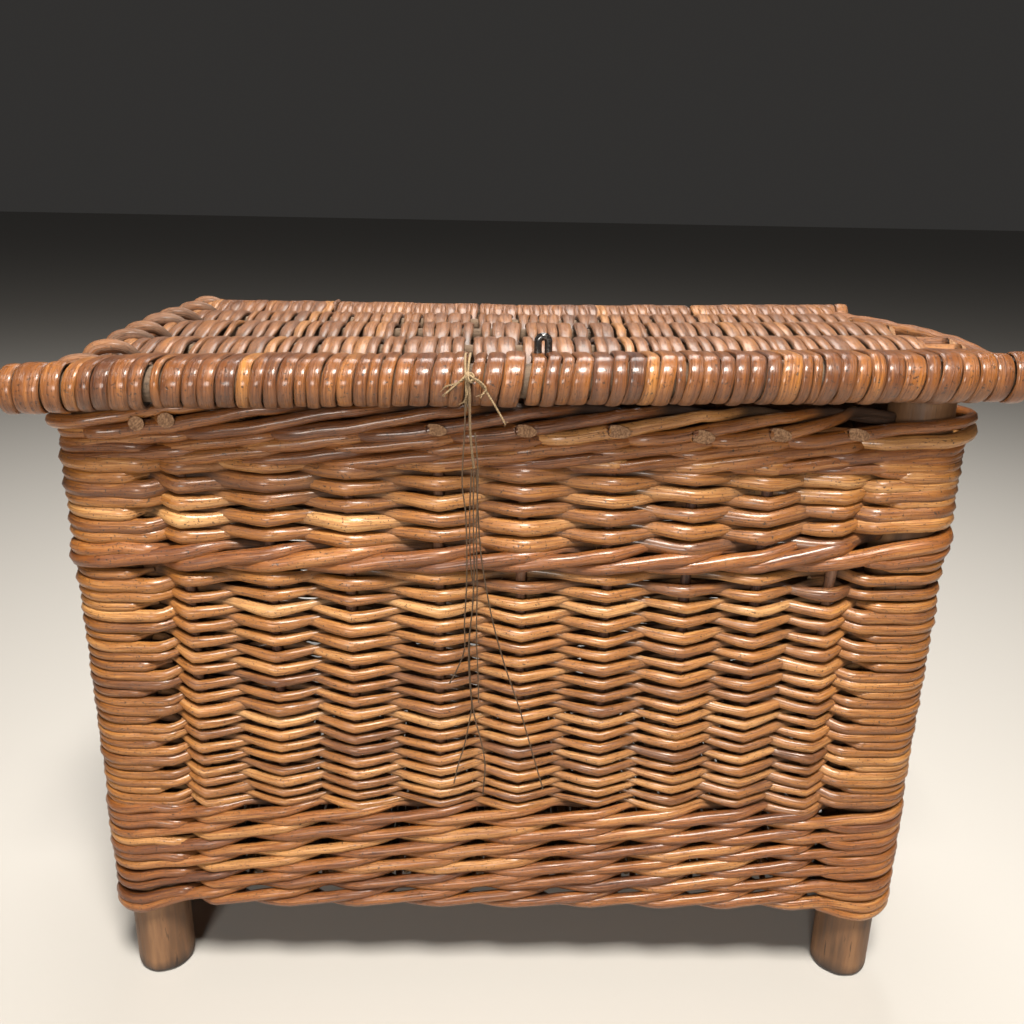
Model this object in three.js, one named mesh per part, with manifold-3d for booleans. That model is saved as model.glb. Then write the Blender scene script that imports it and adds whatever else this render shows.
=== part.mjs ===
// Wicker laundry hamper with a hinged lid, in millimetres, +Z up, front towards -Y.
//
// The basket is woven round four round corner posts, which carry on below it as feet. Upright
// stakes stand between the posts, and the wall is worked round them in bands: a bottom wale, a
// lower stretch of plain weave, a middle wale, an upper stretch of plain weave, a top wale and a
// rod border. The lid is a flat weave on five sticks, with its front and back sticks wrapped into
// rolls and a bare, slightly bowed rod along each end. Two willow loops tie its back stick to the
// border, and it turns about that stick. A black wire staple stands behind the front roll, and an
// old piece of twine is tied round the roll and hangs down the front.
//
// The origin is on the floor, under the middle of the whole hamper.

import * as THREE from 'three';
import { mergeVertices } from 'three/addons/utils/BufferGeometryUtils.js';
import Module from 'manifold-3d';

const wasm = await Module();
wasm.setup();

// Basket
const bodyWidth = 566;
const bodyDepth = 282;
const wallThickness = 19.5;
const cornerRadius = 27;
const postRadius = 20.5;
const frontPostHeight = 443.2;
const backPostHeight = 437;
const postEdge = 2;
const postSides = 12;
const stakeRadius = 3.7;
const fit = 0.3;
const stakeFit = 0.35;
const overrun = 10;

// Stakes along the front, from the middle of the wall, and the even spacing used elsewhere
const frontStakes = [-207, -154, -104, -47, 6, 61, 112, 159, 206];
const backStakeCount = 9;
const sideStakeCount = 3;
const stakeSpacing = 52;
const sideStakeSpacing = 57;

// Wall bands from the bottom up: name, lower edge, how far it stands proud, and its colour
const wallFoot = 67;
const borderFoot = 413;
const borderTop = 433;
const borderProud = 3;
const bands = [
  { name: 'bottom_wale', foot: wallFoot, proud: 1.5, colour: 0x8f5a2e },
  { name: 'lower_rand', foot: 148, proud: 0, colour: 0xa56c38 },
  { name: 'middle_wale', foot: 320, proud: 2, colour: 0x9c6230 },
  { name: 'upper_rand', foot: 347, proud: 0, colour: 0xa0672f },
  { name: 'top_wale', foot: 400, proud: 1, colour: 0x8a5328 },
  { name: 'border', foot: borderFoot, proud: borderProud, colour: 0x85502a },
];

// Base
const baseFoot = 70;
const baseThickness = 14;
const baseStickRadius = 4;
const baseStickCount = 4;
const baseEdgeShare = 0.2;

// Lid
const lidLength = 586;
const lidHeight = 451;
const lidThickness = 15;
const slabLength = 562.8;
const frontRollRadius = 15;
const frontRollOverhang = 20;
const frontStickRadius = 7;
const backRollRadius = 13;
const backStickRadius = 6;
const innerStickRadius = 5;
const innerStickPlaces = [72, 150, 218];
const endRodRadius = 5.5;
const endRodBow = 8;
const endRodShoulder = 0.75;
const endRodGap = 0.6;
const rollLength = 582;
const rollSides = 24;
const rolledStickSides = 12;
const stickSides = 8;

// Hinge loops
const loopRodRadius = 2.4;
const loopPlaces = [-150, 150];
const loopClearance = 0.35;
const loopFoot = 418;
const loopCornerRadius = 5;
const loopNotchHalfWidth = 3.1;
const loopNotchRadius = 18.6;
const loopSlotHeight = 9;

// Staple
const staplePlace = { x: 15, y: -7 };
const stapleWireRadius = 1.6;
const stapleHalfWidth = 3.75;
const stapleLegFoot = 450;
const stapleBend = 471;
const stapleBendPieces = 8;
const stapleHoleDepth = 20;

// Twine
const twineX = -28;
const twineRadius = 0.9;
const strandRadius = 0.45;
const tieRadius = 16.4;
const tieTwineRadius = 1;
const tieNotchRadius = 18;
const tieNotchWidth = 3;
const knotRadius = 3.4;
const knotReach = 18.8;
const knotAngle = Math.PI / 6;
const twineSides = 8;

// Worked out from the sizes above, with y = 0 on the basket's front face
const postX = bodyWidth / 2 - cornerRadius;
const postYs = { front: cornerRadius, back: bodyDepth - cornerRadius };
const stakeLine = wallThickness / 2;
const borderMiddle = bodyDepth - (wallThickness - borderProud) / 2;
const loopHalfSpan = (wallThickness + borderProud) / 2 + loopClearance + loopRodRadius;
const frontEdge = -frontRollOverhang - frontRollRadius;
const backEdge = borderMiddle + loopHalfSpan + loopRodRadius;
const halfTurn = Math.PI;
const quarterTurn = Math.PI / 2;

const hamper = new THREE.Group();
hamper.name = 'laundry_hamper';
hamper.position.y = -(frontEdge + backEdge) / 2;

const willow = { roughness: 0.5, metalness: 0 };

function addPiece(name, geometry, look) {
  const mesh = new THREE.Mesh(geometry, new THREE.MeshStandardMaterial(look));
  mesh.name = name;
  hamper.add(mesh);
  return mesh;
}

function solidOf(geometry) {
  const bare = geometry.clone();
  bare.deleteAttribute('normal');
  bare.deleteAttribute('uv');
  const merged = mergeVertices(bare, 1e-4);
  return new wasm.Manifold(new wasm.Mesh({
    numProp: 3,
    vertProperties: new Float32Array(merged.attributes.position.array),
    triVerts: new Uint32Array(merged.index.array),
  }));
}

function geometryOf(solid) {
  const mesh = solid.getMesh();
  const geometry = new THREE.BufferGeometry();
  geometry.setAttribute('position', new THREE.BufferAttribute(mesh.vertProperties, 3));
  geometry.setIndex(new THREE.BufferAttribute(mesh.triVerts, 1));
  return geometry;
}

// A round bar along X, centred on x, y, z
function barAlongX(radius, length, x, y, z, sides) {
  const bar = new THREE.CylinderGeometry(radius, radius, length, sides);
  bar.rotateX(quarterTurn);
  bar.rotateY(quarterTurn);
  bar.translate(x, y, z);
  return bar;
}

function block(width, depth, height, x, y, z) {
  const box = new THREE.BoxGeometry(width, depth, height);
  box.translate(x, y, z);
  return box;
}

// A flat outline carried straight up
function upright(outline, height) {
  return new THREE.ExtrudeGeometry(outline, { depth: height, bevelEnabled: false, curveSegments: 6 });
}

// A round section swept along a curve
function tubeAlong(curve, radius, sides, steps) {
  const section = new THREE.Shape();
  for (let i = 0; i < sides; i += 1) {
    const turn = (i / sides) * 2 * halfTurn;
    const point = [radius * Math.cos(turn), radius * Math.sin(turn)];
    if (i === 0) section.moveTo(...point);
    else section.lineTo(...point);
  }
  section.closePath();
  return new THREE.ExtrudeGeometry(section, { steps, extrudePath: curve, bevelEnabled: false });
}

// Outline of the basket, rounded round the posts, standing proud of the plain wall
function basketOutline(proud) {
  const outline = new THREE.Shape();
  const radius = cornerRadius + proud;
  outline.absarc(postX, postYs.back, radius, 0, quarterTurn, false);
  outline.absarc(-postX, postYs.back, radius, quarterTurn, halfTurn, false);
  outline.absarc(-postX, postYs.front, radius, halfTurn, halfTurn + quarterTurn, false);
  outline.absarc(postX, postYs.front, radius, halfTurn + quarterTurn, 2 * halfTurn, false);
  outline.closePath();
  return outline;
}

// Inside of the wall: straight runs that step round a collar of weave at each post
function insideOutline(path, clearance) {
  const collar = cornerRadius + fit + clearance;
  const step = cornerRadius - wallThickness - clearance;
  const skew = Math.asin(step / collar);
  path.absarc(postX, postYs.front, collar, halfTurn + skew, quarterTurn - skew, true);
  path.absarc(postX, postYs.back, collar, -quarterTurn + skew, -halfTurn - skew, true);
  path.absarc(-postX, postYs.back, collar, skew, -quarterTurn - skew, true);
  path.absarc(-postX, postYs.front, collar, quarterTurn + skew, -skew, true);
  path.closePath();
  return path;
}

function stakeHole(x, y, radius) {
  const points = [];
  for (let i = 0; i < 6; i += 1) {
    const turn = (i + 0.5) * (halfTurn / 3);
    points.push(new THREE.Vector2(x + radius * Math.cos(turn), y + radius * Math.sin(turn)));
  }
  points.push(points[0].clone());
  return new THREE.Path(points);
}

function placeStakes() {
  const places = [];
  frontStakes.forEach((x, i) => places.push({ name: `stake_front_${i + 1}`, x, y: stakeLine }));
  for (let i = 0; i < backStakeCount; i += 1) {
    const x = (i - (backStakeCount - 1) / 2) * stakeSpacing;
    places.push({ name: `stake_back_${i + 1}`, x, y: bodyDepth - stakeLine });
  }
  for (const [side, sign] of [['left', -1], ['right', 1]]) {
    for (let i = 0; i < sideStakeCount; i += 1) {
      const y = bodyDepth / 2 + (i - (sideStakeCount - 1) / 2) * sideStakeSpacing;
      places.push({ name: `stake_${side}_${i + 1}`, x: sign * (bodyWidth / 2 - stakeLine), y });
    }
  }
  return places;
}

const stakes = placeStakes();

function makePosts() {
  for (const [side, sign] of [['left', -1], ['right', 1]]) {
    for (const [end, y] of Object.entries(postYs)) {
      const height = end === 'front' ? frontPostHeight : backPostHeight;
      const profile = [
        new THREE.Vector2(0, 0),
        new THREE.Vector2(postRadius - postEdge, 0),
        new THREE.Vector2(postRadius, postEdge),
        new THREE.Vector2(postRadius, height - postEdge),
        new THREE.Vector2(postRadius - postEdge, height),
        new THREE.Vector2(0, height),
      ];
      const post = new THREE.LatheGeometry(profile, postSides);
      post.rotateX(quarterTurn);
      post.translate(sign * postX, y, 0);
      addPiece(`corner_post_${end}_${side}`, post, { color: 0x7a5a36, roughness: 0.7, metalness: 0 });
    }
  }
}

function makeStakes() {
  const foot = wallFoot + 1;
  const height = borderFoot - fit - foot;
  for (const { name, x, y } of stakes) {
    const stake = new THREE.CylinderGeometry(stakeRadius, stakeRadius, height, 6);
    stake.rotateX(quarterTurn);
    stake.translate(x, y, foot + height / 2);
    addPiece(name, stake, { ...willow, color: 0x8a5a32 });
  }
}

function makeWall() {
  bands.forEach((band, i) => {
    const isBorder = band.name === 'border';
    const top = isBorder ? borderTop : bands[i + 1].foot - fit;
    const outline = basketOutline(band.proud);
    outline.holes.push(insideOutline(new THREE.Path(), 0));
    for (const y of Object.values(postYs)) {
      for (const sign of [-1, 1]) {
        const bore = new THREE.Path();
        bore.absarc(sign * postX, y, postRadius + fit, 0, 2 * halfTurn, false);
        outline.holes.push(bore);
      }
    }
    if (!isBorder) {
      for (const { x, y } of stakes) outline.holes.push(stakeHole(x, y, stakeRadius + stakeFit));
    }
    const height = top - band.foot;
    const ring = upright(outline, height);
    ring.translate(0, 0, band.foot);
    addPiece(band.name, isBorder ? cutLoopSlots(ring) : ring, { ...willow, color: band.colour });
  });
}

// Each hinge loop passes under the border's top rods through a slot across the wall
function cutLoopSlots(ring) {
  const bottom = loopFoot - loopRodRadius - loopClearance;
  const across = wallThickness + 2 * borderProud + overrun;
  return geometryOf(loopPlaces.reduce((solid, x) => {
    const width = 2 * (loopRodRadius + loopClearance);
    const slot = block(width, across, loopSlotHeight, x, borderMiddle, bottom + loopSlotHeight / 2);
    return solid.subtract(solidOf(slot));
  }, solidOf(ring)));
}

function makeBase() {
  const outline = insideOutline(new THREE.Shape(), fit);
  const slab = upright(outline, baseThickness);
  slab.translate(0, 0, baseFoot);
  const middle = baseFoot + baseThickness / 2;
  const length = bodyWidth - 2 * (wallThickness + fit);
  const spacing = (bodyDepth - 2 * wallThickness) / (baseStickCount + 2 * baseEdgeShare);
  let weave = solidOf(slab);
  for (let i = 0; i < baseStickCount; i += 1) {
    const y = bodyDepth / 2 + (i - (baseStickCount - 1) / 2) * spacing;
    const channel = barAlongX(baseStickRadius + stakeFit, length + overrun, 0, y, middle, stickSides);
    weave = weave.subtract(solidOf(channel));
    const inner = Math.abs(y - bodyDepth / 2) < spacing;
    const shortening = inner ? 0 : 2 * cornerRadius;
    const stick = barAlongX(baseStickRadius, length - shortening, 0, y, middle, stickSides);
    addPiece(`base_stick_${i + 1}`, stick, { ...willow, color: 0x80522d });
  }
  addPiece('base_weave', geometryOf(weave), { ...willow, color: 0x8c5c33 });
}

// Lid weave: a flat slab of weavers with a wrapped roll along its front and back sticks
function makeLidWeave() {
  const slabDepth = borderMiddle + frontRollOverhang;
  const slabMiddle = (borderMiddle - frontRollOverhang) / 2;
  let weave = solidOf(block(slabLength, slabDepth, lidThickness, 0, slabMiddle, lidHeight));
  weave = weave.subtract(solidOf(
    barAlongX(tieNotchRadius, tieNotchWidth, twineX, -frontRollOverhang, lidHeight, rollSides)));
  weave = weave.add(solidOf(
    barAlongX(frontRollRadius, rollLength, 0, -frontRollOverhang, lidHeight, rollSides)));
  weave = weave.add(solidOf(barAlongX(backRollRadius, rollLength, 0, borderMiddle, lidHeight, rollSides)));
  for (const x of loopPlaces) {
    weave = weave.subtract(solidOf(
      barAlongX(loopNotchRadius, 2 * loopNotchHalfWidth, x, borderMiddle, lidHeight, rollSides)));
  }
  const channels = [
    [frontStickRadius, -frontRollOverhang, rolledStickSides],
    [backStickRadius, borderMiddle, rolledStickSides],
    ...innerStickPlaces.map((y) => [innerStickRadius, y, stickSides]),
  ];
  for (const [radius, y, sides] of channels) {
    const channel = barAlongX(radius + stakeFit, lidLength + overrun, 0, y, lidHeight, sides);
    weave = weave.subtract(solidOf(channel));
  }
  const holeRadius = stapleWireRadius + stakeFit;
  for (const side of [-1, 1]) {
    const hole = new THREE.CylinderGeometry(holeRadius, holeRadius, stapleHoleDepth, stickSides);
    hole.rotateX(quarterTurn);
    hole.translate(
      staplePlace.x + side * stapleHalfWidth,
      staplePlace.y,
      stapleLegFoot - fit + stapleHoleDepth / 2);
    weave = weave.subtract(solidOf(hole));
  }
  addPiece('lid_weave', geometryOf(weave), { ...willow, color: 0x8b4a28 });
}

function makeLidSticks() {
  const wood = { color: 0x83684a, roughness: 0.75, metalness: 0 };
  const inset = 1;
  const sticks = [
    ['lid_front_stick', frontStickRadius, rollLength, -frontRollOverhang, rolledStickSides],
    ['lid_back_stick', backStickRadius, rollLength, borderMiddle, rolledStickSides],
    ...innerStickPlaces.map((y, i) => [`lid_stick_${i + 1}`, innerStickRadius, slabLength, y, stickSides]),
  ];
  for (const [name, radius, length, y, sides] of sticks) {
    addPiece(name, barAlongX(radius, length - inset, 0, y, lidHeight, sides), wood);
  }
}

function makeLidEndRods() {
  const front = frontRollRadius - frontRollOverhang + endRodGap;
  const back = borderMiddle - backRollRadius - endRodGap;
  for (const [side, sign] of [['left', -1], ['right', 1]]) {
    const end = sign * (lidLength / 2 - endRodRadius);
    const shoulder = end + sign * endRodShoulder * endRodBow;
    const bowed = end + sign * endRodBow;
    const quarter = (back - front) / 4;
    const route = [
      new THREE.Vector3(end, front, lidHeight),
      new THREE.Vector3(shoulder, front + quarter, lidHeight),
      new THREE.Vector3(bowed, front + 2 * quarter, lidHeight),
      new THREE.Vector3(shoulder, back - quarter, lidHeight),
      new THREE.Vector3(end, back, lidHeight),
    ];
    const rod = tubeAlong(new THREE.CatmullRomCurve3(route), endRodRadius, 12, 12);
    addPiece(`lid_end_rod_${side}`, rod, { ...willow, color: 0x9a6432 });
  }
}

// A closed willow ring round the lid's back stick and the top of the back wall
function makeHingeLoops() {
  const low = loopFoot + loopCornerRadius;
  const straight = loopHalfSpan - loopCornerRadius;
  const outline = new THREE.Path();
  outline.absarc(0, lidHeight, loopHalfSpan, 0, halfTurn, false);
  outline.absarc(-straight, low, loopCornerRadius, halfTurn, halfTurn + quarterTurn, false);
  outline.absarc(straight, low, loopCornerRadius, halfTurn + quarterTurn, 2 * halfTurn, false);
  outline.closePath();
  const points = outline.getSpacedPoints(24).slice(0, -1);
  loopPlaces.forEach((x, i) => {
    const route = points.map((p) => new THREE.Vector3(x, borderMiddle + p.x, p.y));
    const curve = new THREE.CatmullRomCurve3(route, true, 'catmullrom', 0.5);
    const ring = tubeAlong(curve, loopRodRadius, 6, 24);
    addPiece(`hinge_loop_${i === 0 ? 'left' : 'right'}`, ring, { ...willow, color: 0x7d4d28 });
  });
}

// A bent wire with both legs pushed down into the lid weave behind the front roll
function makeStaple() {
  const { x, y } = staplePlace;
  const route = new THREE.CurvePath();
  const left = new THREE.Vector3(x - stapleHalfWidth, y, stapleBend);
  const right = new THREE.Vector3(x + stapleHalfWidth, y, stapleBend);
  const bend = [];
  for (let i = 1; i < stapleBendPieces; i += 1) {
    const turn = halfTurn * (1 - i / stapleBendPieces);
    bend.push(new THREE.Vector3(
      x + stapleHalfWidth * Math.cos(turn), y, stapleBend + stapleHalfWidth * Math.sin(turn)));
  }
  route.add(new THREE.LineCurve3(new THREE.Vector3(left.x, y, stapleLegFoot), left));
  const places = [left, ...bend, right];
  for (let i = 1; i < places.length; i += 1) route.add(new THREE.LineCurve3(places[i - 1], places[i]));
  route.add(new THREE.LineCurve3(right, new THREE.Vector3(right.x, y, stapleLegFoot)));
  const wire = tubeAlong(route, stapleWireRadius, 8, 40);
  addPiece('lid_staple', wire, { color: 0x0c0c0d, roughness: 0.3, metalness: 0.8 });
}

function makeTwineKnot() {
  const tie = new THREE.TorusGeometry(tieRadius, tieTwineRadius, 6, 24);
  tie.rotateY(quarterTurn);
  tie.translate(twineX, -frontRollOverhang, lidHeight);
  const knot = new THREE.SphereGeometry(knotRadius, 10, 6);
  knot.translate(
    twineX,
    -frontRollOverhang - knotReach * Math.cos(knotAngle),
    lidHeight + knotReach * Math.sin(knotAngle));
  addPiece('twine_knot', geometryOf(solidOf(tie).add(solidOf(knot))),
    { color: 0xb79a6b, roughness: 0.9, metalness: 0 });
}

// The twine's routes from the knot down the front of the basket, top to bottom. It is thick as far
// as its frayed end, where it parts into strands. Two more strands hang beside it.
const twineRoutes = {
  twine_lead: [
    [-27.4, -38.6, 456], [-26.6, -38.6, 448], [-26.5, -38.4, 441], [-26.2, -38.2, 427],
    [-25.2, -37.2, 415], [-24, -36, 404.5],
  ],
  twine_strand_1: [
    [-29, -39.6, 443], [-29.2, -39.8, 429], [-30.3, -38.6, 408], [-30.6, -36, 393],
    [-28.6, -33.6, 375], [-28, -30, 347], [-28.4, -25, 324], [-29.6, -21, 300],
    [-29.6, -17.6, 281], [-34.3, -14, 265], [-39.5, -12, 253.5],
  ],
  twine_strand_2: [
    [-25.3, -34.8, 403.4], [-26.2, -33, 384], [-26.3, -30.4, 357], [-25.4, -27, 338], [-24, -23, 321],
    [-26.5, -17, 288], [-26.2, -13.6, 261], [-25.1, -12, 237], [-27.4, -10.6, 220], [-30.1, -9.6, 205],
    [-33.4, -9, 193], [-36.7, -9, 177],
  ],
  twine_strand_3: [
    [-24, -36.6, 403], [-24.2, -35, 385], [-24, -32.4, 358], [-23.6, -29.4, 339],
    [-24.6, -25.4, 313], [-27, -19.4, 283], [-26, -15.4, 253], [-23, -13, 230],
    [-19, -11.6, 212], [-16, -10.4, 193], [-17.2, -9, 168.5],
  ],
  twine_strand_4: [
    [-22.7, -35.4, 403.4], [-21.6, -33, 380], [-20, -29.6, 353], [-17.5, -26, 333], [-12, -20, 301],
    [-4.2, -15, 269], [6.6, -12, 234], [15.8, -10, 200], [23.4, -9, 172.5],
  ],
  twine_strand_5: [
    [-23.4, -39.8, 426], [-21.6, -38.8, 403], [-22.2, -36.6, 372], [-22, -33, 344], [-21.8, -28, 326],
    [-22, -22, 291], [-21, -18, 264], [-20.4, -16, 242],
  ],
};

function makeTwine() {
  for (const [name, route] of Object.entries(twineRoutes)) {
    const curve = new THREE.CatmullRomCurve3(route.map((point) => new THREE.Vector3(...point)));
    const isLead = name === 'twine_lead';
    const steps = isLead ? 12 : 2 * (route.length - 1);
    const tube = tubeAlong(curve, isLead ? twineRadius : strandRadius, twineSides, steps);
    addPiece(name, tube, { color: 0xa88a5e, roughness: 0.9, metalness: 0 });
  }
}

makePosts();
makeStakes();
makeWall();
makeBase();
makeHingeLoops();
makeLidWeave();
makeLidSticks();
makeLidEndRods();
makeStaple();
makeTwineKnot();
makeTwine();

export default hamper;
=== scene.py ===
"""Looks for a wicker laundry hamper with a hinged lid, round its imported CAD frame.

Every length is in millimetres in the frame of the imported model, and turns into metres when a mesh
or a curve is made. A place on the wall is a number of uprights: 0 is the front left corner post,
and it grows along the front, the right end, the back and the left end.
"""

import math

import bpy
import numpy as np
from mathutils import Matrix, Vector


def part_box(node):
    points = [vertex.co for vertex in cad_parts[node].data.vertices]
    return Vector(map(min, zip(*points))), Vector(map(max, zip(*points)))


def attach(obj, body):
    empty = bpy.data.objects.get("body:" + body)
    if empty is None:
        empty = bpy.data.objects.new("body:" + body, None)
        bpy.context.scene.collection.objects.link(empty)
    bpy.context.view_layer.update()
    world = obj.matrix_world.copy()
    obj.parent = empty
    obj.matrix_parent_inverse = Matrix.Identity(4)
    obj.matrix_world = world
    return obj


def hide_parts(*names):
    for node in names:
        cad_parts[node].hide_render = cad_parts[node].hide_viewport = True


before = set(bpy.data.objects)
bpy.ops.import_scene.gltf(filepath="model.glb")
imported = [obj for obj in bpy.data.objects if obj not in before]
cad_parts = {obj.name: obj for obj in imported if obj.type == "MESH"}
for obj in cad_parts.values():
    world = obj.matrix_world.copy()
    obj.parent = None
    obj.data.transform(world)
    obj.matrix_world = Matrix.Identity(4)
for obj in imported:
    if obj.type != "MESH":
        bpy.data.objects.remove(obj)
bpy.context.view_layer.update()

MM = 0.001
UP = np.array([0.0, 0.0, 1.0])
ALONG_X = np.array([1.0, 0.0, 0.0])
FULL_TURN = 2 * math.pi


def corners(node):
    """Lowest and highest corner of a CAD node, in millimetres."""
    low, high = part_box(node)
    return np.array(low) / MM, np.array(high) / MM


def middle(node):
    low, high = corners(node)
    return (low + high) / 2


def half_size(node):
    low, high = corners(node)
    return (high - low) / 2


def smoothstep(low, high, value):
    share = np.clip((value - low) / (high - low), 0, 1)
    return share * share * (3 - 2 * share)


def smooth(values, number):
    """Each value's mean with its neighbours, over an odd number of values."""
    return np.convolve(np.pad(values, number // 2, mode="edge"), np.ones(number) / number, "valid")


def line_of(x, y, z):
    """The points whose coordinates are given, where a single one stands for all."""
    return np.column_stack(np.broadcast_arrays(x, y, z))


def unit(vectors):
    return vectors / np.linalg.norm(vectors, axis=-1, keepdims=True)


def headings(line):
    """The direction of a line at each of its points."""
    return unit(np.gradient(line, axis=0))


def travelled(line):
    """The length of a line up to each of its points."""
    return np.concatenate([[0], np.cumsum(np.linalg.norm(np.diff(line, axis=0), axis=1))])


def interp_points(along, length, points):
    """The points at some lengths along a line in the plane."""
    return np.stack([np.interp(along, length, points[:, axis]) for axis in (0, 1)], -1)


def add_object(name, data):
    item = bpy.data.objects.new(name, data)
    bpy.context.scene.collection.objects.link(item)
    return item


# ---------------------------------------------------------------- materials


class Nodes:
    """A short way to write a material's nodes."""

    def __init__(self, name):
        self.material = bpy.data.materials.new(name)
        self.material.use_nodes = True
        self.tree = self.material.node_tree
        self.shader = self.tree.nodes["Principled BSDF"]

    def link(self, source, target):
        if isinstance(source, bpy.types.NodeSocket):
            self.tree.links.new(source, target)
        else:
            target.default_value = source

    def add(self, kind, inputs=None, **settings):
        """Adds a node. inputs gives its sockets, by name or number, a value or a link."""
        node = self.tree.nodes.new(kind)
        for key, value in settings.items():
            setattr(node, key, value)
        for key, value in (inputs or {}).items():
            self.link(value, node.inputs[key])
        return node

    def math(self, operation, first, second=0.0):
        return self.add("ShaderNodeMath", {0: first, 1: second}, operation=operation).outputs[0]

    def times(self, first, second):
        return self.math("MULTIPLY", first, second)

    def plus(self, first, second):
        return self.math("ADD", first, second)

    def join(self, x, y, z):
        return self.add("ShaderNodeCombineXYZ", {0: x, 1: y, 2: z}).outputs[0]

    def noise(self, place, scale, detail=3.0, roughness=0.55):
        return self.add("ShaderNodeTexNoise", {"Vector": place, "Scale": scale, "Detail": detail,
                                               "Roughness": roughness}).outputs["Fac"]

    def stretch(self, value, low, high, to_low=0.0, to_high=1.0):
        """Maps low..high to to_low..to_high, and holds it there."""
        return self.add("ShaderNodeMapRange", {
            "Value": value, "From Min": low, "From Max": high,
            "To Min": to_low, "To Max": to_high}).outputs[0]

    def ramp(self, value, stops):
        node = self.add("ShaderNodeValToRGB", {"Fac": value})
        elements = node.color_ramp.elements
        while len(elements) < len(stops):
            elements.new(0.5)
        for element, (place, colour) in zip(elements, stops):
            element.position = place
            element.color = (*colour, 1)
        return node.outputs["Color"]

    def mix(self, share, first, second, blend="MIX"):
        node = self.add("ShaderNodeMix", {"Factor": share}, data_type="RGBA", blend_type=blend)
        colours = [socket for socket in node.inputs if socket.type == "RGBA"]
        for value, socket in zip((first, second), colours):
            self.link((*value, 1) if isinstance(value, tuple) else value, socket)
        return next(socket for socket in node.outputs if socket.type == "RGBA")

    def bump(self, height, distance, strength=1.0, below=None):
        inputs = {"Height": height, "Distance": distance * MM, "Strength": strength}
        if below:
            inputs["Normal"] = below
        return self.add("ShaderNodeBump", inputs).outputs[0]

    def place(self):
        return self.add("ShaderNodeTexCoord").outputs["Object"]

    def finish(self, colour, roughness, normal=None, coat=0.0, coat_roughness=0.03):
        """Sets the shader's inputs, and gives the material."""
        inputs = self.shader.inputs
        self.link(colour, inputs["Base Color"])
        self.link(roughness, inputs["Roughness"])
        if normal:
            self.link(normal, inputs["Normal"])
        inputs["Coat Weight"].default_value = coat
        inputs["Coat Roughness"].default_value = coat_roughness
        return self.material

    def look(self):
        """The swept rods' own values: tone, dust with painted shade, and seed, each from 0 to 1."""
        attribute = self.add("ShaderNodeAttribute", attribute_name="look")
        return self.add("ShaderNodeSeparateColor", {0: attribute.outputs["Color"]}).outputs

    def rod_place(self, along, around):
        """A place on a swept rod: along it per metre, and round it without a seam."""
        uv = self.add("ShaderNodeUVMap", uv_map="rod")
        parts = self.add("ShaderNodeSeparateXYZ", {0: uv.outputs[0]}).outputs
        angle = self.times(parts[1], FULL_TURN)
        seed = self.times(self.look()[2], 37.0)
        return self.join(
            self.plus(self.times(parts[0], along), seed),
            self.times(self.math("COSINE", angle), around),
            self.plus(self.times(self.math("SINE", angle), around), seed))


# Near-black colour of painted shade, partly dirt, for crevices, the wall's inside and the lid's underside
SHADE_AND_DIRT = (0.012, 0.006, 0.003)
DUST = (0.30, 0.205, 0.135)
SPECK = (0.014, 0.007, 0.004)


def rod_marks(n, along, around, noise, low, high):
    """Noise on a swept rod, as a share of the way from its low to its high value."""
    return n.stretch(n.noise(n.rod_place(along, around), *noise), low, high)


def willow(name, tones, roughness=0.44, coat=0.32, dusting=0.2):
    """Varnished willow: tone picks each rod's colour, with grain, specks, bark marks, dust, and painted
    shade that turns it nearly black in crevices and inside.
    """
    n = Nodes(name)
    tone, dust_and_shade, _ = n.look()
    grain = n.noise(n.rod_place(28, 1.6), 2.2, 4.0, 0.6)
    patches = n.noise(n.rod_place(9, 0.5), 1.6, 2.0)
    fine = n.noise(n.rod_place(60, 4.0), 3.0, 3.0, 0.65)
    shifted = n.plus(tone, n.times(n.math("SUBTRACT", patches, 0.5), 0.65))
    shifted = n.plus(shifted, n.times(n.math("SUBTRACT", grain, 0.5), 0.60))
    colour = n.ramp(shifted, tones)
    streaks = rod_marks(n, 14, 3.2, (2.0, 4.0, 0.65), 0.48, 0.68)
    colour = n.mix(n.times(streaks, 0.75), colour, (0.36, 0.24, 0.16), "MULTIPLY")
    specks = rod_marks(n, 420, 1.9, (1.9, 2.0, 0.5), 0.635, 0.675)
    marks = rod_marks(n, 95, 1.1, (2.0, 3.0, 0.6), 0.66, 0.71)
    specks = n.math("MAXIMUM", specks, n.times(marks, 0.8))
    colour = n.mix(n.times(specks, 0.85), colour, SPECK)
    worn = rod_marks(n, 16, 0.8, (2.4, 4.0, 0.7), 0.60, 0.74)
    colour = n.mix(n.times(worn, 0.5), colour, tones[-1][1])
    dusty = n.times(n.stretch(dust_and_shade, 0.0, 0.5), n.stretch(fine, 0.35, 0.7))
    colour = n.mix(n.times(dusty, dusting), colour, DUST)
    # Painted shade, partly dirt: where a rod lies deep in the weave or under the lid, its colour goes
    # nearly black.
    colour = n.mix(n.stretch(dust_and_shade, 0.40, 0.85, 0.0, 0.95), colour, SHADE_AND_DIRT)
    rough = n.stretch(n.plus(fine, n.times(dust_and_shade, 0.9)), 0.3, 1.3,
                      roughness - 0.08, roughness + 0.38)
    bump = n.bump(grain, 0.40, 0.9)
    bump = n.bump(streaks, 0.26, 0.9, bump)
    bump = n.bump(fine, 0.12, 0.8, bump)
    bump = n.bump(n.times(specks, -1.0), 0.25, 0.8, bump)
    return n.finish(colour, rough, bump, coat, 0.20)


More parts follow.
